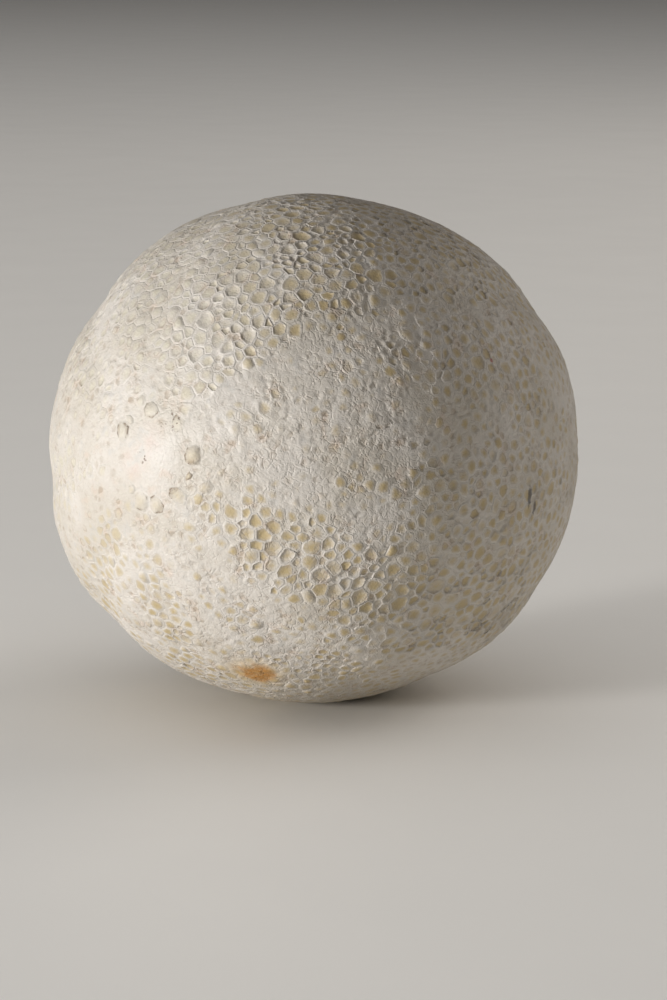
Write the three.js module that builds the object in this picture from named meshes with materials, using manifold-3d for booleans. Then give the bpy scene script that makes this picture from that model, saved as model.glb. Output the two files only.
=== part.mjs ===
// A whole netted cantaloupe melon, grown as one piece and resting on its side on a small flat spot.
// Millimetres, +Z up. The origin is on the ground, under the middle of the fruit's box.
// The blossom end faces -Y and points a little above level, and the stem end is at the back, towards +Y.
import * as THREE from "three";
import { mergeVertices } from "three/addons/utils/BufferGeometryUtils.js";
import Module from "manifold-3d";

// The whole fruit.
const EQUATOR_RADIUS = 75; // halfway between its two ends
const END_RADIUS = 79; // from its middle to either end
const BLOSSOM_END_TIP = 6; // degrees above level
const GROUND_SPOT_DEPTH = 1.05; // how much of the underside is pressed flat

// The blossom end is a low round boss, and the stem end is a shallow dish inside a soft rim.
const BOSS_RADIUS = 13;
const BOSS_HEIGHT = 0.5;
const DISH_FLOOR_RADIUS = 5;
const DISH_RADIUS = 11;
const DISH_DEPTH = 2.2;
const RIM_RADIUS = 14;
const RIM_WIDTH = 4;
const RIM_HEIGHT = 0.6;

// The sutures are shallow furrows that run from end to end and divide the fruit into broad ribs. Each
// longitude is in degrees round the axis, clockwise from the top as seen from the blossom end.
const SUTURES = [
  { longitude: 6, depth: 0.4 },
  { longitude: 49, depth: 1.3 },
  { longitude: 82, depth: 0.5 },
  { longitude: 121, depth: 0.9 },
  { longitude: 151, depth: 1.1 },
  { longitude: 184, depth: 0.9 },
  { longitude: 216, depth: 1.5 },
  { longitude: 258, depth: 1.5 },
  { longitude: 308, depth: 1.5 },
  { longitude: 344, depth: 1.2 },
];
const SUTURE_HALF_WIDTH = 7; // degrees of longitude
const SUTURE_START = 0.15; // the sine of the angle from either end at which a suture begins
const SUTURE_FULL = 0.8; // the sine of the angle at which it has its whole depth
const SUTURE_FADE_AT_GROUND = 20; // degrees round the ground spot, where the furrows are pressed out

// Broad swells make the fruit uneven. Facing is in degrees from -Y towards +X, and lift is in degrees
// above level.
const SWELLS = [
  { facing: 122, lift: 21, rise: 0.6 }, // the right cheek
  { facing: 143, lift: 74, rise: -1.6 }, // the flattened crown
  { facing: -46, lift: -24, rise: 2.5 }, // the full cheek beside the blossom end
  { facing: 80, lift: -68, rise: -1.4 }, // the flattened side of the ground spot
  { facing: 109, lift: -42, rise: 1.3 }, // the low right cheek
  { facing: 205, lift: 15, rise: 0.9 }, // the shoulder beside the stem end
  { facing: -110, lift: 10, rise: -0.6 }, // the flattened far side
];
const SWELL_SPREAD = 28; // degrees

// The mesh: steps round the axis, steps in each end zone, and steps between the two zones.
const AROUND_STEPS = 72;
const END_ZONE = 0.22; // radians from either end
const END_STEPS = 6;
const BODY_STEPS = 34;

const { degToRad, lerp, smoothstep } = THREE.MathUtils;

const blossomAxis = new THREE.Vector3(0, -Math.cos(degToRad(BLOSSOM_END_TIP)), Math.sin(degToRad(BLOSSOM_END_TIP)));
const sideAxis = new THREE.Vector3(1, 0, 0);
const topAxis = blossomAxis.clone().cross(sideAxis);
const down = new THREE.Vector3(0, 0, -1);

// One hump of height 1 at distance 0 that has nearly gone at twice the spread.
function hump(distance, spread) {
  return Math.exp(-((distance / spread) ** 2));
}

// A unit vector that faces a compass direction, lifted above level.
function direction(facing, lift) {
  const turn = degToRad(facing);
  const rise = degToRad(lift);
  return new THREE.Vector3(Math.sin(turn) * Math.cos(rise), -Math.cos(turn) * Math.cos(rise), Math.sin(rise));
}

// The angles from the stem end at which the profile has its points, closer together at the two ends.
function profileAngles() {
  const angles = [];
  for (let i = 0; i < END_STEPS; i += 1) {
    angles.push((END_ZONE * i) / END_STEPS);
  }
  for (let i = 0; i <= BODY_STEPS; i += 1) {
    angles.push(lerp(END_ZONE, Math.PI - END_ZONE, i / BODY_STEPS));
  }
  for (let i = END_STEPS - 1; i >= 0; i -= 1) {
    angles.push(Math.PI - (END_ZONE * i) / END_STEPS);
  }
  return angles;
}

// Half of the fruit's long section, from the stem end to the blossom end.
function profile() {
  return profileAngles().map((angle) => {
    const across = Math.sin(angle);
    const along = -Math.cos(angle);
    const egg = 1 / Math.hypot(across / EQUATOR_RADIUS, along / END_RADIUS);
    const fromAxis = egg * across;
    const boss = BOSS_HEIGHT * (1 - smoothstep(fromAxis, 0, BOSS_RADIUS));
    const dish = DISH_DEPTH * (1 - smoothstep(fromAxis, DISH_FLOOR_RADIUS, DISH_RADIUS));
    const rim = RIM_HEIGHT * hump(fromAxis - RIM_RADIUS, RIM_WIDTH);
    const radius = along > 0 ? egg + boss : egg - dish + rim;
    const onAxis = angle === 0 || angle === Math.PI;
    return new THREE.Vector2(onAxis ? 0 : radius * across, radius * along);
  });
}

// How deep the sutures are in the direction of a unit vector.
function sutureDepth(toPoint) {
  const longitude = Math.atan2(toPoint.dot(sideAxis), toPoint.dot(topAxis));
  const fromAxis = Math.sqrt(1 - Math.min(1, toPoint.dot(blossomAxis) ** 2));
  const fromGround = toPoint.angleTo(down);
  let depth = 0;
  for (const suture of SUTURES) {
    const turn = longitude - degToRad(suture.longitude);
    const apart = Math.abs(Math.atan2(Math.sin(turn), Math.cos(turn)));
    depth += suture.depth * hump(apart, degToRad(SUTURE_HALF_WIDTH));
  }
  const alongRib = smoothstep(fromAxis, SUTURE_START, SUTURE_FULL);
  return depth * alongRib * (1 - hump(fromGround, degToRad(SUTURE_FADE_AT_GROUND)));
}

// How far the broad swells lift the surface in the direction of a unit vector.
function swellRise(toPoint) {
  let rise = 0;
  for (const swell of SWELLS) {
    const apart = toPoint.angleTo(direction(swell.facing, swell.lift));
    rise += swell.rise * hump(apart, degToRad(SWELL_SPREAD));
  }
  return rise;
}

// The lathed profile, laid on its side with its blossom end forward, then furrowed and swelled.
function fruitShape() {
  const turned = new THREE.LatheGeometry(profile(), AROUND_STEPS);
  turned.deleteAttribute("normal");
  turned.deleteAttribute("uv");
  turned.rotateX(Math.PI - degToRad(BLOSSOM_END_TIP));
  const shape = mergeVertices(turned);
  const places = shape.getAttribute("position");
  const place = new THREE.Vector3();
  const toPoint = new THREE.Vector3();
  for (let i = 0; i < places.count; i += 1) {
    place.fromBufferAttribute(places, i);
    toPoint.copy(place).normalize();
    place.addScaledVector(toPoint, swellRise(toPoint) - sutureDepth(toPoint));
    places.setXYZ(i, place.x, place.y, place.z);
  }
  shape.computeBoundingBox();
  return shape;
}

// A merged geometry as a manifold-3d solid.
function solidOf(wasm, geometry) {
  return new wasm.Manifold(
    new wasm.Mesh({
      numProp: 3,
      vertProperties: geometry.getAttribute("position").array,
      triVerts: new Uint32Array(geometry.index.array),
    }),
  );
}

// A block whose top is the plane that the underside is pressed flat on.
function groundBlock(top) {
  const side = 3 * END_RADIUS;
  const block = new THREE.BoxGeometry(side, side, EQUATOR_RADIUS);
  block.translate(0, 0, top - EQUATOR_RADIUS / 2);
  block.deleteAttribute("normal");
  block.deleteAttribute("uv");
  return mergeVertices(block);
}

// The fruit with its flat ground spot, set down with the origin under the middle of its box.
function restingFruit(wasm) {
  const shape = fruitShape();
  const ground = shape.boundingBox.min.z + GROUND_SPOT_DEPTH;
  const cut = solidOf(wasm, shape).subtract(solidOf(wasm, groundBlock(ground))).getMesh();
  const fruit = new THREE.BufferGeometry();
  fruit.setAttribute("position", new THREE.BufferAttribute(cut.vertProperties, 3));
  fruit.setIndex(new THREE.BufferAttribute(cut.triVerts, 1));
  fruit.computeBoundingBox();
  const middle = fruit.boundingBox.getCenter(new THREE.Vector3());
  fruit.translate(-middle.x, -middle.y, -ground);
  fruit.computeVertexNormals();
  return fruit;
}

const wasm = await Module();
wasm.setup();

const rind = new THREE.MeshStandardMaterial({ color: 0xcbbfab, roughness: 0.55, metalness: 0 });
const melon = new THREE.Mesh(restingFruit(wasm), rind);
melon.name = "melon";

const group = new THREE.Group();
group.add(melon);
export default group;
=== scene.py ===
import math
import random

import bmesh
import bpy
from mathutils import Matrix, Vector, noise
from mathutils.bvhtree import BVHTree


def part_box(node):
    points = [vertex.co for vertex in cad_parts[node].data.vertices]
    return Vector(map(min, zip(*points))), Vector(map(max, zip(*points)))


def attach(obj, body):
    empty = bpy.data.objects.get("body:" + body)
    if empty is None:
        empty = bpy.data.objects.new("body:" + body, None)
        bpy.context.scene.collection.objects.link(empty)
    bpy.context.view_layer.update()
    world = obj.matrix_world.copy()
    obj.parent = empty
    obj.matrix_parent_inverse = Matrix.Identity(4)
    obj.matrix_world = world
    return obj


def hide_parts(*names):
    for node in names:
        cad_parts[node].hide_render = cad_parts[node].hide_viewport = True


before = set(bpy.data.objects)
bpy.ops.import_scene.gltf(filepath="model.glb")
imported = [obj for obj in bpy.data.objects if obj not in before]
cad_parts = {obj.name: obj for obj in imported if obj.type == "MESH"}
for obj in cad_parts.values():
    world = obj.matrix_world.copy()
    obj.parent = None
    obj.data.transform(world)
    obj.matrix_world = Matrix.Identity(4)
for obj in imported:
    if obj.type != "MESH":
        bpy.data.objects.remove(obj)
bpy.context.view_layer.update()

# A whole netted cantaloupe melon on a pale floor. Metres, in the CAD model's frame: +Z is up, the blossom
# end faces -Y and points a little above level, and the stem end faces +Y.
MM = 0.001

# ---------------------------------------------------------------- places on the fruit

LOW, HIGH = (Vector(corner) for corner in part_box("melon"))
MIDDLE = (LOW + HIGH) / 2
RADIUS = (HIGH.z - LOW.z) / 2
BLOSSOM_END_TIP = math.radians(6)
BLOSSOM_AXIS = Vector((0, -math.cos(BLOSSOM_END_TIP), math.sin(BLOSSOM_END_TIP)))
SIDE_AXIS = Vector((1, 0, 0))
TOP_AXIS = BLOSSOM_AXIS.cross(SIDE_AXIS)


def on_fruit(longitude, from_blossom):
    """The direction of a place, in degrees round the axis from the top and from the blossom end."""
    turn = math.radians(longitude)
    angle = math.radians(from_blossom)
    across = TOP_AXIS * math.cos(turn) + SIDE_AXIS * math.sin(turn)
    return BLOSSOM_AXIS * math.cos(angle) + across * math.sin(angle)


def longitude_of(toward):
    """Degrees round the axis, clockwise from the top as seen from the blossom end."""
    return math.degrees(math.atan2(toward.dot(SIDE_AXIS), toward.dot(TOP_AXIS)))


def smooth_step(low, high, value):
    """0 below low, 1 above high, and a soft step between them."""
    share = min(1, max(0, (value - low) / (high - low)))
    return share * share * (3 - 2 * share)


# ---------------------------------------------------------------- camera

CAMERA_AROUND = math.radians(34.3)
CAMERA_ABOVE = math.radians(10)
CAMERA_DISTANCE = 0.9
CAMERA_LENS = 110.9
AIM_RIGHT = 0.0049  # metres past the fruit's middle, where the camera is aimed
AIM_UP = -0.0155


def set_camera():
    toward = Vector((math.sin(CAMERA_AROUND), -math.cos(CAMERA_AROUND), 0)) * math.cos(CAMERA_ABOVE)
    toward.z = math.sin(CAMERA_ABOVE)
    right = Vector((math.cos(CAMERA_AROUND), math.sin(CAMERA_AROUND), 0))
    up = toward.cross(right)
    aim = MIDDLE + right * AIM_RIGHT + up * AIM_UP
    data = bpy.data.cameras.new("camera")
    data.sensor_width = 36
    data.lens = CAMERA_LENS
    camera = bpy.data.objects.new("camera", data)
    camera.location = MIDDLE + toward * CAMERA_DISTANCE
    camera.rotation_euler = (aim - camera.location).to_track_quat("-Z", "Y").to_euler()
    bpy.context.scene.collection.objects.link(camera)
    bpy.context.scene.camera = camera


# ---------------------------------------------------------------- shader maths

class Signal:
    """A socket that a shader reads. An expression on signals adds the Math nodes that work it out."""

    def __init__(self, recipe, socket):
        self.recipe = recipe
        self.socket = socket

    def math(self, operation, *values):
        node = self.recipe.add("ShaderNodeMath", {"operation": operation}, dict(enumerate(values)))
        return Signal(self.recipe, node.outputs[0])

    def __add__(self, other):
        return self.math("ADD", self, other)

    def __radd__(self, other):
        return self.math("ADD", other, self)

    def __sub__(self, other):
        return self.math("SUBTRACT", self, other)

    def __rsub__(self, other):
        return self.math("SUBTRACT", other, self)

    def __mul__(self, other):
        return self.math("MULTIPLY", self, other)

    def __rmul__(self, other):
        return self.math("MULTIPLY", other, self)

    def step(self, low, high):
        """0 where this is at low, 1 where it is at high, and a soft step between them."""
        settings = {"interpolation_type": "SMOOTHSTEP"}
        inputs = {"Value": self, "From Min": low, "From Max": high}
        node = self.recipe.add("ShaderNodeMapRange", settings, inputs)
        return Signal(self.recipe, node.outputs["Result"])


class Recipe:
    """A new material, and the one way that nodes are added to it."""

    def __init__(self, name):
        self.material = bpy.data.materials.new(name)
        self.material.use_nodes = True
        self.tree = self.material.node_tree
        self.tree.nodes.clear()

    def add(self, kind, settings=None, inputs=None):
        node = self.tree.nodes.new(kind)
        for name, value in (settings or {}).items():
            setattr(node, name, value)
        for name, value in (inputs or {}).items():
            socket = self.socket(node, name)
            if isinstance(value, Signal):
                self.tree.links.new(value.socket, socket)
            else:
                socket.default_value = value
        return node

    @staticmethod
    def socket(node, name):
        if isinstance(name, int):
            return node.inputs[name]
        return next(one for one in node.inputs if one.name == name and one.enabled)

    def signal(self, kind, settings=None, inputs=None, output=0):
        return Signal(self, self.add(kind, settings, inputs).outputs[output])

    def attribute(self, name):
        return self.signal("ShaderNodeAttribute", {"attribute_name": name}, output="Fac")

    def millimetres(self):
        """Object coordinates in millimetres."""
        place = self.signal("ShaderNodeTexCoord", output="Object")
        return self.signal("ShaderNodeVectorMath", {"operation": "SCALE"}, {"Vector": place, "Scale": 1 / MM})

    def on_round(self, place, middle, radius):
        """The place in the same direction from a middle on a round fruit, in millimetres from that middle."""
        ends = {0: place, 1: tuple(middle / MM)}
        arm = self.signal("ShaderNodeVectorMath", {"operation": "SUBTRACT"}, ends)
        arm = self.signal("ShaderNodeVectorMath", {"operation": "NORMALIZE"}, {0: arm})
        inputs = {"Vector": arm, "Scale": radius / MM}
        return self.signal("ShaderNodeVectorMath", {"operation": "SCALE"}, inputs)

    def noise(self, place, size, detail=2, roughness=0.5):
        """Soft noise from 0 to 1 whose lumps are about size millimetres across."""
        inputs = {"Vector": place, "Scale": 1 / size, "Detail": detail, "Roughness": roughness}
        return self.signal("ShaderNodeTexNoise", {}, inputs)

    def bent(self, place, size, by):
        """A place pushed about by up to so many millimetres, in waves of about size."""
        push = self.signal("ShaderNodeTexNoise", {}, {"Vector": place, "Scale": 1 / size}, output="Color")
        settings = {"operation": "MULTIPLY_ADD"}
        return self.signal("ShaderNodeVectorMath", settings, {0: push, 1: (by, by, by), 2: place})

    def cells(self, place, size, feature="DISTANCE_TO_EDGE"):
        """How far from the edge of a cell, or from its middle, in cells of about size millimetres."""
        settings = {"feature": feature}
        inputs = {"Vector": place, "Scale": 1 / size}
        return self.signal("ShaderNodeTexVoronoi", settings, inputs, output="Distance")

    def mix(self, share, first, second, blend="MIX"):
        settings = {"data_type": "RGBA", "blend_type": blend}
        node = self.add("ShaderNodeMix", settings, {"Factor": share, "A": first, "B": second})
        return Signal(self, next(one for one in node.outputs if one.enabled))

    def distance(self, place, point):
        """Millimetres from a point, given in metres."""
        inputs = {0: place, 1: tuple(point / MM)}
        return self.signal("ShaderNodeVectorMath", {"operation": "DISTANCE"}, inputs, output="Value")

    def stretched(self, place, point, shares):
        """Millimetres from a point, with each way counted at its own share."""
        ends = {0: place, 1: tuple(point / MM)}
        apart = self.signal("ShaderNodeVectorMath", {"operation": "SUBTRACT"}, ends)
        apart = self.signal("ShaderNodeVectorMath", {"operation": "MULTIPLY"}, {0: apart, 1: shares})
        return self.signal("ShaderNodeVectorMath", {"operation": "LENGTH"}, {0: apart}, output="Value")

    def finish(self, bump_height, bump_depth, **inputs):
        """The shader. Bump depth is the height in metres of 1 in bump_height."""
        bump = self.signal("ShaderNodeBump", {}, {"Height": bump_height, "Distance": bump_depth})
        inputs = {name.replace("_", " "): value for name, value in inputs.items()}
        shader = self.add("ShaderNodeBsdfPrincipled", {}, {**inputs, "Normal": bump})
        output = self.add("ShaderNodeOutputMaterial")
        self.tree.links.new(shader.outputs[0], output.inputs["Surface"])
        return self.material


def colour(red, green, blue):
    """A colour from its 0 to 255 display values, as the linear values that a shader takes."""
    shares = (value / 255 for value in (red, green, blue))
    return (*(share / 12.92 if share <= 0.04045 else ((share + 0.055) / 1.055) ** 2.4 for share in shares), 1)


# ---------------------------------------------------------------- where the net is open

# The net is open along the sutures, where the pits are wide and bare skin shows in them, and nearly closed
# on the ribs. Each band has the longitude of its middle, its half width in degrees, and how open it is.
OPEN_BANDS = (
    (8, 15, 0.8),
    (27, 14, 1.0),
    (37, 6, 0.75),
    (62, 8, 0.2),
    (93, 7, 0.25),
    (122, 14, 1.0),
    (156, 14, 0.3),
    (186, 10, 0.6),
    (216, 12, 0.7),
    (258, 13, 0.7),
    (300, 16, 0.5),
    (335, 15, 0.55),
)
BAND_START = 8  # degrees from either end at which a band begins
BAND_FULL = 28
RIB_OPENNESS = (0.1, 0.42)  # on the ribs near the ends, and round the fruit's waist


def openness(toward):
    """0 where cork covers the skin nearly all over, and 1 where the net is widest."""
    longitude = longitude_of(toward)
    most = 0
    for middle, half_width, share in OPEN_BANDS:
        apart = (longitude - middle + 180) % 360 - 180
        most = max(most, share * math.exp(-((apart / half_width) ** 2)))
    from_end = math.degrees(math.acos(min(1, abs(toward.dot(BLOSSOM_AXIS)))))
    most *= 0.45 + 0.55 * smooth_step(BAND_START, BAND_FULL, from_end)
    low, high = RIB_OPENNESS
    rib = low + (high - low) * smooth_step(40, 66, from_end)
    patch = 0.2 * noise.noise(toward * 6) + 0.25 * noise.noise(toward * 15)
    return min(1, max(0, rib + (1 - rib) * most + patch))


# ---------------------------------------------------------------- the net's cells

BOSS_RADIUS = 9.6  # mm of smooth cork round the blossom end
PIT_RING_RADIUS = 11.7
PIT_RING = (35, 82, 102, 139, 173, 198, 214, 298, 317, 348)  # degrees round it
RING_CELL = 4.2  # mm across
RING_UNEVEN = 0.7  # mm that a pit of the ring may lie in or out of it
RING_PIT_REACH = 1.4  # mm from its place in the ring, within which a cell is taken as that pit
DISH_RADIUS = 12  # mm of smooth cork round the stem end
END_CELL = 2.3
WIDE_CELL = (2.4, 4.6)  # mm across, in the open net
NARROW_CELL = (1.5, 2.3)  # between the wide ones
RIB_CELL = (1.8, 2.9)
WIDE_TRIES = 90000
NARROW_TRIES = 170000


def from_ends(toward):
    """Millimetres along the rind from the blossom end, and from the stem end."""
    angle = math.acos(max(-1, min(1, toward.dot(BLOSSOM_AXIS))))
    return angle * RADIUS / MM, (math.pi - angle) * RADIUS / MM


def at_an_end(toward):
    blossom, stem = from_ends(toward)
    return blossom < BOSS_RADIUS or stem < DISH_RADIUS


def any_direction():
    height = random.uniform(-1, 1)
    turn = random.uniform(0, math.tau)
    across = math.sqrt(1 - height * height)
    return Vector((across * math.cos(turn), across * math.sin(turn), height))


def cell_middles():
    """Places for the cells' middles on a unit sphere, with how wide each is in mm. None is too near another:
    the pit ring's come first, then the wide cells, and the narrow ones fill the gaps."""
    widest = WIDE_CELL[1] * MM / RADIUS
    near = {}
    middles = []

    def put(toward, size):
        square = tuple(math.floor(part / widest) for part in toward)
        steps = (-1, 0, 1)
        squares = ((square[0] + i, square[1] + j, square[2] + k) for i in steps for j in steps for k in steps)
        for other, other_size in (one for each in squares for one in near.get(each, ())):
            if (other - toward).length < (size + other_size) / 2 * MM / RADIUS:
                return
        near.setdefault(square, []).append((toward, size))
        middles.append((toward, size))

    for turn in PIT_RING:
        reach = (PIT_RING_RADIUS + random.uniform(-RING_UNEVEN, RING_UNEVEN)) * MM / RADIUS
        put(on_fruit(turn, math.degrees(reach)), RING_CELL)
    for _ in range(WIDE_TRIES):
        toward = any_direction()
        share = openness(toward)
        if share + random.uniform(-0.25, 0.25) > 0.5 and not at_an_end(toward):
            low, high = WIDE_CELL
            put(toward, random.uniform(low, low + (high - low) * share))
    for _ in range(NARROW_TRIES):
        toward = any_direction()
        if at_an_end(toward):
            put(toward, END_CELL)
        else:
            widths = NARROW_CELL if random.random() < openness(toward) + 0.3 else RIB_CELL
            put(toward, random.uniform(*widths))
    return middles


def net_of_cells(middles):
    """One face for each cell. The middles' hull is turned inside out, so that its triangles' centres
    become the cells' corners and its edges cross over to become the net's cords."""
    net = bmesh.new()
    sizes = {}
    for toward, size in middles:
        sizes[net.verts.new(toward * RADIUS)] = size
    bmesh.ops.convex_hull(net, input=net.verts)
    hubs = list(net.verts)
    spokes = list(net.edges)
    corners = bmesh.ops.poke(net, faces=net.faces)["verts"]
    for corner in corners:
        around = [edge.other_vert(corner) for edge in corner.link_edges]
        pulls = [1 / sizes[hub] for hub in around]  # a corner lies nearest to the narrowest of its cells
        corner.co = sum((hub.co * pull for hub, pull in zip(around, pulls)), Vector()) / sum(pulls)
    bmesh.ops.rotate_edges(net, edges=spokes)
    bmesh.ops.dissolve_verts(net, verts=hubs)
    bmesh.ops.recalc_face_normals(net, faces=net.faces)
    return net


CORD_BENDS = ((24, 0.7), (70, 0.45))  # how often round the fruit, and how far in mm
BENDS_START = 4  # mm inside the boss's edge, from which the cords begin to bend


def bend_cords(net):
    """Pushes the cords' joints about, so that the cells are uneven and some are drawn out."""
    for corner in net.verts:
        toward = corner.co.normalized()
        push = sum((noise.noise_vector(toward * often) * far for often, far in CORD_BENDS), Vector())
        push -= toward * push.dot(toward)
        blossom, _ = from_ends(toward)
        corner.co += push * MM * smooth_step(BOSS_RADIUS - BENDS_START, BOSS_RADIUS, blossom)


def in_pit_ring(toward):
    """Whether a cell is one of the wide pits round the blossom end."""
    for turn in PIT_RING:
        middle = on_fruit(turn, math.degrees(PIT_RING_RADIUS * MM / RADIUS))
        if (toward - middle).length * RADIUS < RING_PIT_REACH * MM:
            return True
    return False


def reach_of(face):
    """The radius of a round cell as large as the face."""
    return math.sqrt(face.calc_area() / math.pi)


# ---------------------------------------------------------------- cords and pits

CORD_RISE_CLOSED = 0.2  # mm above the CAD surface, on the ribs
CORD_RISE_OPEN = 0.42  # mm, along the sutures
FURROW = 0.22  # the share of a cord's rise that the furrow along its middle takes, where the net is open
FURROW_REACH = 0.3  # mm from a cord's middle, past which there is no furrow
LIP = 0.45  # how far from a cord's middle its lip is, as a share of its half width
PIT_SHARE_CLOSED = 0.5  # the share of a cell's width that its pit has
PIT_SHARE_OPEN = 0.8
PIT_RADIUS = 0.85  # mm, from which a dimple counts as a pit with a floor of its own
LEAST_CORD = 0.3  # mm from a cord's middle to a pit
LEAST_DIMPLE = 0.2
PIT_ROUNDNESS = 0.12
INSIDE = 0.9  # no corner of a pit is further out than this share of the cell's own corner
SMOOTH_SHARE = 0.3  # of the cells on the ribs that cork fills to the brim
PIT_UNEVEN = (0.75, 1.12)  # how much a pit's share of its cell varies
BESIDE_RING = 3  # mm outside the pit ring, where the pits are narrower
BESIDE_RING_SHARE = 0.6
MOST_CORD = 0.85  # of a cell's reach, which its cords never pass
PIT_DEPTH = (0.24, 0.48)  # mm of a narrow dimple, and how much more a wide pit has
DEPTH_UNEVEN = (0.7, 1.2)
BARE_UNEVEN = (0.55, 1)
RING_PIT_SHARE = 0.8
RING_DEPTH = (0.6, 0.85)  # mm
RING_BARE = 0.6
# How strongly the ring pits' wall feet are darkened: part dirt, part painted shade in the hollows.
RING_DIRT_AND_SHADE = 1.6  # against 1 in the other pits
WALL_FOOT = 0.85  # the share of a pit's depth that its wall has


def cord_rise(toward):
    """How high the cork stands there, in mm."""
    rise = CORD_RISE_CLOSED + (CORD_RISE_OPEN - CORD_RISE_CLOSED) * openness(toward)
    return rise * (1 + 0.45 * noise.noise(toward * 30))


def shrink(face, share):
    """Draws a face's corners in round its middle, and rounds it a little."""
    middle = face.calc_center_median()
    arms = [(corner, corner.co - middle) for corner in face.verts]
    mean = sum(arm.length for _, arm in arms) / len(arms)
    for corner, arm in arms:
        length = arm.length + (mean - arm.length) * PIT_ROUNDNESS
        corner.co = middle + arm.normalized() * min(length * share, arm.length * max(INSIDE, share))


class Cell:
    """One cell of the net: how wide and deep its pit is, and how much skin shows in it."""

    def __init__(self, face):
        toward = face.calc_center_median().normalized()
        blossom, stem = from_ends(toward)
        share = openness(toward)
        ring = in_pit_ring(toward)
        self.face = face
        self.reach = reach_of(face) / MM
        pit_share = PIT_SHARE_CLOSED + (PIT_SHARE_OPEN - PIT_SHARE_CLOSED) * share
        pit_share *= random.uniform(*PIT_UNEVEN)
        if ring:
            pit_share = RING_PIT_SHARE
        elif blossom < PIT_RING_RADIUS + BESIDE_RING:
            pit_share *= BESIDE_RING_SHARE
        self.half_width = min(max(self.reach * (1 - pit_share), LEAST_CORD), MOST_CORD * self.reach)
        self.pit_radius = self.reach - self.half_width
        filled = random.random() < SMOOTH_SHARE * (1 - smooth_step(0.15, 0.45, share)) and not ring
        self.smooth = at_an_end(toward) or self.pit_radius < LEAST_DIMPLE or filled
        self.deep = self.pit_radius > PIT_RADIUS and not self.smooth
        self.rise = cord_rise(toward)
        least, more = PIT_DEPTH
        self.depth = (least + more * smooth_step(0.3, 1.3, self.pit_radius)) * random.uniform(*DEPTH_UNEVEN)
        self.bare = smooth_step(0.2, 1.1, self.pit_radius) * random.uniform(*BARE_UNEVEN)
        self.bare *= 0.5 + 0.5 * smooth_step(0.1, 0.5, share)
        # How dark the pit's wall foot is painted: dirt, and painted shade where the hollow is shaded.
        self.dirt_and_shade = RING_DIRT_AND_SHADE if ring else 1
        if ring:
            self.depth = random.uniform(*RING_DEPTH)
            self.bare = RING_BARE

    def share(self, part):
        """The share of the face that is left at a part of the half width in from the cord's middle."""
        return 1 - part * self.half_width / self.reach


def in_order(faces):
    """The faces from one side of the fruit to the other."""
    return sorted(faces, key=lambda face: tuple(face.calc_center_median()))


def carve(net):
    """Gives each cell its pit or dimple. The corners only slide sideways here, and their rise above the
    CAD surface is kept on them, with what the material needs, until the net is laid on the fruit."""
    rise = net.verts.layers.float.new("rise")
    from_cord = net.verts.layers.float.new("from_cord")
    bare = net.verts.layers.float.new("bare")
    wall = net.verts.layers.float.new("wall")
    owner = net.faces.layers.int.new("owner")

    def mark(corners, height, distance, skin, wall_darkening=0):
        for corner in corners:
            corner[rise] = height
            corner[from_cord] = distance
            corner[bare] = skin
            corner[wall] = wall_darkening

    for corner in net.verts:
        toward = corner.co.normalized()
        split = smooth_step(0.2, 0.5, openness(toward))
        mark([corner], cord_rise(toward) * (1 - FURROW * split), FURROW_REACH * (1 - split), 0)
    cells = [cell for cell in map(Cell, in_order(net.faces)) if not cell.smooth]
    deep = [cell for cell in cells if cell.deep]
    bmesh.ops.inset_individual(net, faces=[cell.face for cell in deep], thickness=0)
    for cell in deep:
        shrink(cell.face, cell.share(LIP))
        mark(cell.face.verts, cell.rise, LIP * cell.half_width, 0)
    bmesh.ops.inset_individual(net, faces=[cell.face for cell in cells], thickness=0)
    for cell in cells:
        left = cell.share(1) / cell.share(LIP) if cell.deep else cell.share(1)
        shrink(cell.face, left)
        mark(cell.face.verts, cell.rise - cell.depth * WALL_FOOT, cell.half_width, 0.5 * cell.bare, cell.dirt_and_shade)
    for number, cell in enumerate(deep):
        cell.face[owner] = number
    for floor in bmesh.ops.poke(net, faces=[cell.face for cell in deep])["verts"]:
        cell = deep[floor.link_faces[0][owner]]
        mark([floor], cell.rise - cell.depth, cell.reach, cell.bare)


# ---------------------------------------------------------------- the rind

SMOOTHING = 2
LUMPS = ((9, 0.16), (26, 0.06))  # how often round the fruit, and how high in mm


def smooth_surface():
    """The CAD fruit with its facets smoothed, as a tree that a ray from its middle can meet."""
    shape = bpy.data.objects.new("smooth_fruit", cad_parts["melon"].data.copy())
    bpy.context.scene.collection.objects.link(shape)
    merged = bmesh.new()
    merged.from_mesh(shape.data)
    bmesh.ops.remove_doubles(merged, verts=merged.verts, dist=0.001 * MM)
    merged.to_mesh(shape.data)
    merged.free()
    finer = shape.modifiers.new("finer", "SUBSURF")
    finer.levels = finer.render_levels = SMOOTHING
    tree = BVHTree.FromObject(shape, bpy.context.evaluated_depsgraph_get())
    bpy.data.objects.remove(shape)
    return tree


def lay_on_fruit(net):
    """Moves each corner out or in to the CAD surface, and then up by its own rise."""
    surface = smooth_surface()
    rise = net.verts.layers.float["rise"]
    for corner in net.verts:
        toward = corner.co.normalized()
        place, normal, _, _ = surface.ray_cast(MIDDLE, toward)
        lumps = sum(height * noise.noise(toward * often) for often, height in LUMPS)
        corner.co = place + normal * math.copysign((corner[rise] + lumps) * MM, normal.dot(toward))
        corner.co.z = max(corner.co.z, 0)


BAKE_SIDES = (
    (Vector((1, 0, 0)), Vector((0, 0, 1))),
    (Vector((-1, 0, 0)), Vector((0, 0, 1))),
    (Vector((0, 1, 0)), Vector((0, 0, 1))),
    (Vector((0, -1, 0)), Vector((0, 0, 1))),
    (Vector((0, 0, 1)), Vector((0, 1, 0))),
    (Vector((0, 0, -1)), Vector((0, -1, 0))),
)
BAKE_COLUMNS = 3
BAKE_ROWS = 2
BAKE_FILL = 0.93


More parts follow.
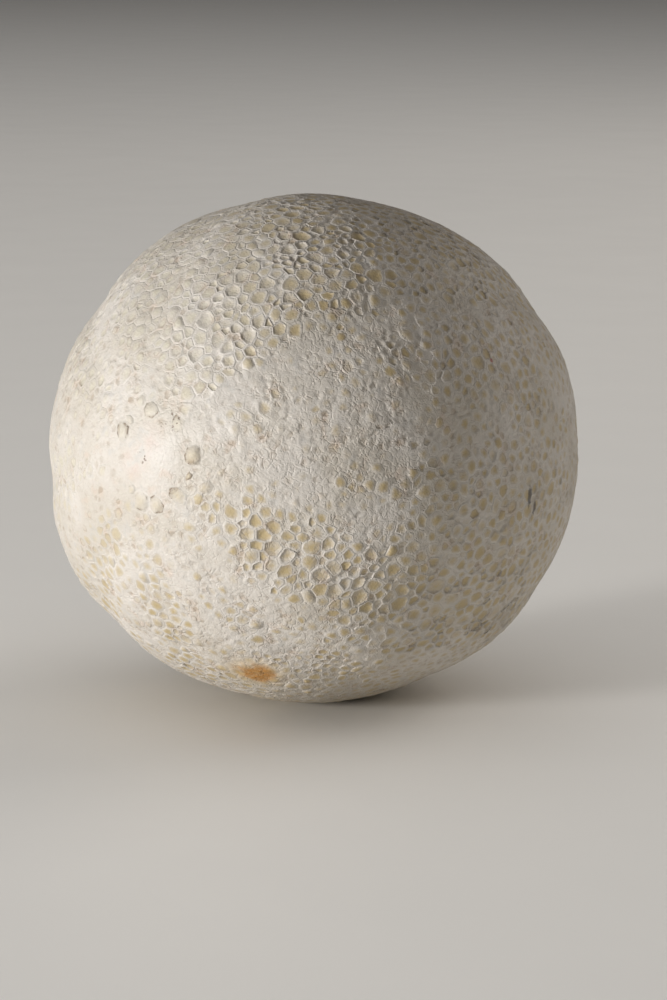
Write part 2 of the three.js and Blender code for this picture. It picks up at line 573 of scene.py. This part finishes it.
def unfold(net):
    """Lays the skin out as the six sides of a cube, so that all of it gets an even share of the map."""
    layer = net.loops.layers.uv.new("OFBake")
    for face in net.faces:
        toward = face.calc_center_median() - MIDDLE
        side = max(range(len(BAKE_SIDES)), key=lambda one: toward.dot(BAKE_SIDES[one][0]))
        outward, upward = BAKE_SIDES[side]
        across = upward.cross(outward)
        row, column = divmod(side, BAKE_COLUMNS)
        for loop in face.loops:
            arm = loop.vert.co - MIDDLE
            u, v = (math.atan2(arm.dot(way), arm.dot(outward)) / (math.pi / 2) for way in (across, upward))
            across_map = (column + 0.5 + u * BAKE_FILL) / BAKE_COLUMNS
            up_map = (row + 0.5 + v * BAKE_FILL) / BAKE_ROWS
            loop[layer].uv = (across_map, up_map)


CHANCES = 11  # the seed of the draws made by random


def make_rind():
    random.seed(CHANCES)
    net = net_of_cells(cell_middles())
    bend_cords(net)
    carve(net)
    lay_on_fruit(net)
    unfold(net)
    for face in net.faces:
        face.smooth = True
    mesh = bpy.data.meshes.new("melon_rind")
    net.to_mesh(mesh)
    net.free()
    rind = bpy.data.objects.new("melon_rind", mesh)
    bpy.context.scene.collection.objects.link(rind)
    mesh.materials.append(netted_rind())
    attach(rind, "root")
    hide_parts("melon")


# ---------------------------------------------------------------- the finish

def spot(longitude, from_blossom):
    """A place on a round fruit, from its direction in degrees, in metres from the fruit's middle."""
    return on_fruit(longitude, from_blossom) * RADIUS


RUST_SPOT = spot(167, 54.5)
BLUSHES = ((spot(345, 4), 3), (spot(255, 4.5), 3.5))  # each with its reach in mm
SPECKS = ((spot(22, 7), 2.5), (spot(28, 9.5), 2.5), (spot(270, 2), 2), (spot(139, 8), 1.5))
FLECK = spot(65, 78)
PALE_SIDE = spot(310, 35)
STEM_END = spot(0, 180)
GROUND_SPOT = Vector((0, 0, -RADIUS))
SCUFFS = ((spot(95, 87), 3.6), (spot(97.5, 89.5), 2.8))  # each with its half length in mm


def netted_rind():
    rind = Recipe("netted_rind")
    place = rind.millimetres()
    toward = rind.on_round(place, MIDDLE, RADIUS)
    from_cord = rind.attribute("from_cord")
    dirt_and_shade = rind.attribute("wall")
    broad = rind.noise(place, 18)
    patchy = rind.noise(place, 4.5)
    knobs = rind.noise(place, 1.6, detail=2, roughness=0.6)
    fine = rind.noise(place, 0.9, detail=3, roughness=0.6)
    bare = (rind.attribute("bare") + (0.5 - fine) * 0.5).step(0.14, 0.8)
    wrinkle = rind.cells(rind.bent(place, 2.4, 4), 2)
    speckle = rind.cells(rind.bent(place, 1.2, 1.6), 1.3, feature="F1")
    golden = (rind.distance(toward, PALE_SIDE) + broad * 30).step(46, 90)

    cork = rind.mix(broad.step(0.35, 0.65), colour(215, 209, 201), colour(205, 198, 187))
    cork = rind.mix(patchy.step(0.56, 0.75) * 0.35, cork, colour(214, 190, 170))
    cork = rind.mix((1 - patchy.step(0.25, 0.42)) * 0.4, cork, colour(190, 189, 186))
    cork = rind.mix(fine.step(0.45, 0.75) * 0.25, cork, colour(184, 172, 156))
    skin = rind.mix(golden, colour(212, 206, 190), colour(190, 171, 130))
    skin = rind.mix(fine.step(0.4, 0.8) * 0.35, skin, colour(170, 154, 116))
    base = rind.mix(bare, cork, skin)
    # Dirt and painted shade: the pits' wall feet darkened to brown, in patches.
    base = rind.mix(dirt_and_shade.step(0.5, 1) * patchy.step(0.4, 0.75) * 0.4, base, colour(140, 116, 82))
    # In the ring pits, darker brown streaks at the wall feet: dirt and painted shade.
    ring_dirt_and_shade = dirt_and_shade.step(1.1, 1.6) * patchy.step(0.4, 0.6) * knobs.step(0.42, 0.58)
    base = rind.mix(ring_dirt_and_shade * 0.85, base, colour(104, 84, 60))
    for middle, reach in BLUSHES:
        blush = 1 - (rind.distance(toward, middle) + patchy * 4).step(reach - 1, reach + 5)
        base = rind.mix(blush * patchy.step(0.3, 0.6) * 0.3, base, colour(214, 180, 168))
    for middle, reach in SPECKS:
        near = 1 - (rind.distance(toward, middle) + patchy * 3).step(reach, reach + 2)
        base = rind.mix(near * (1 - speckle.step(0.14, 0.42)) * 0.85, base, colour(104, 80, 58))

    rust_reach = rind.distance(toward, RUST_SPOT) + patchy * 7 + fine * 2
    halo = 1 - rust_reach.step(7, 16)
    rust = 1 - rust_reach.step(7.5, 11)
    base = rind.mix(halo * 0.5, base, colour(212, 182, 126))
    base = rind.mix(rust * (0.65 + fine.step(0.35, 0.65) * 0.35), base, colour(180, 122, 38))
    base = rind.mix((1 - rind.distance(toward, FLECK).step(0.4, 0.8)) * 0.8, base, colour(150, 52, 38))
    for middle, half_length in SCUFFS:
        upright = rind.stretched(toward, middle, (1, 1, 0.3))
        scuff = 1 - (upright + fine * 0.9).step(half_length * 0.3, half_length * 0.3 + 0.5)
        base = rind.mix(scuff * 0.75, base, colour(62, 60, 64))

    ground = 1 - (rind.distance(toward, GROUND_SPOT) + patchy * 14).step(24, 46)
    base = rind.mix(ground * 0.35, base, colour(206, 184, 134))
    from_stem = rind.distance(toward, STEM_END) + patchy * 2.5
    straw = 1 - from_stem.step(11, 17)
    hollow = 1 - from_stem.step(5.5, 8.5)
    base = rind.mix(straw * 0.5, base, colour(192, 168, 126))
    base = rind.mix(hollow * 0.6, base, colour(156, 128, 90))
    crack = (1 - wrinkle.step(0.02, 0.12)) * straw
    base = rind.mix(crack * 0.45, base, colour(104, 80, 54))

    furrow = 1 - from_cord.step(0.04, FURROW_REACH)
    crease = (1 - wrinkle.step(0.02, 0.2)) * (1 - bare) * (0.35 + patchy.step(0.35, 0.65))
    grain = rind.noise(place, 0.55, detail=2, roughness=0.6)
    height = grain * 0.09 + knobs * 0.22 - furrow * 0.06 - crease * (0.035 + 0.055 * golden) - crack * 0.25
    sheen = {"Roughness": 0.45 + 0.14 * grain, "Coat_Weight": 0.1, "Coat_Roughness": 0.4}
    return rind.finish(height, MM, Base_Color=base, **sheen)


def pale_floor():
    floor = Recipe("pale_floor")
    place = floor.millimetres()
    tone = floor.noise(place, 60)
    base = floor.mix(tone, colour(226, 224, 220), colour(221, 219, 215))
    return floor.finish(floor.noise(place, 2), 0.02 * MM, Base_Color=base, Roughness=0.5 + 0.1 * tone)


def make_floor():
    slab = bmesh.new()
    bmesh.ops.create_grid(slab, x_segments=1, y_segments=1, size=6)
    mesh = bpy.data.meshes.new("floor")
    slab.to_mesh(mesh)
    slab.free()
    floor = bpy.data.objects.new("floor", mesh)
    bpy.context.scene.collection.objects.link(floor)
    mesh.materials.append(pale_floor())
    return floor


# ---------------------------------------------------------------- light

def set_light(name, around, above, distance, size, power, tint):
    """A soft square light that faces the fruit, placed in degrees like the camera."""
    turn, rise = math.radians(around), math.radians(above)
    toward = Vector((math.sin(turn) * math.cos(rise), -math.cos(turn) * math.cos(rise), math.sin(rise)))
    data = bpy.data.lights.new(name, "AREA")
    data.size = size
    data.energy = power
    data.color = tint
    lamp = bpy.data.objects.new(name, data)
    lamp.location = MIDDLE + toward * distance
    lamp.rotation_euler = toward.to_track_quat("Z", "Y").to_euler()
    bpy.context.scene.collection.objects.link(lamp)
    return lamp


def light_studio(floor):
    set_light("key", -26, 7, 2.2, 0.4, 47, (1, 0.985, 0.97))
    set_light("fill", 150, 30, 2.8, 2, 15, (1, 0.93, 0.85))
    wash = set_light("floor_wash", 0, 89, 4, 8, 115, (1, 1, 1))
    wash.light_linking.receiver_collection = bpy.data.collections.new("floor_only")
    wash.light_linking.receiver_collection.objects.link(floor)
    world = bpy.data.worlds.new("studio")
    world.use_nodes = True
    background = world.node_tree.nodes["Background"]
    background.inputs["Color"].default_value = (1, 0.96, 0.92, 1)
    background.inputs["Strength"].default_value = 0.13
    bpy.context.scene.world = world
    bpy.context.scene.view_settings.view_transform = "Standard"


set_camera()
make_rind()
light_studio(make_floor())
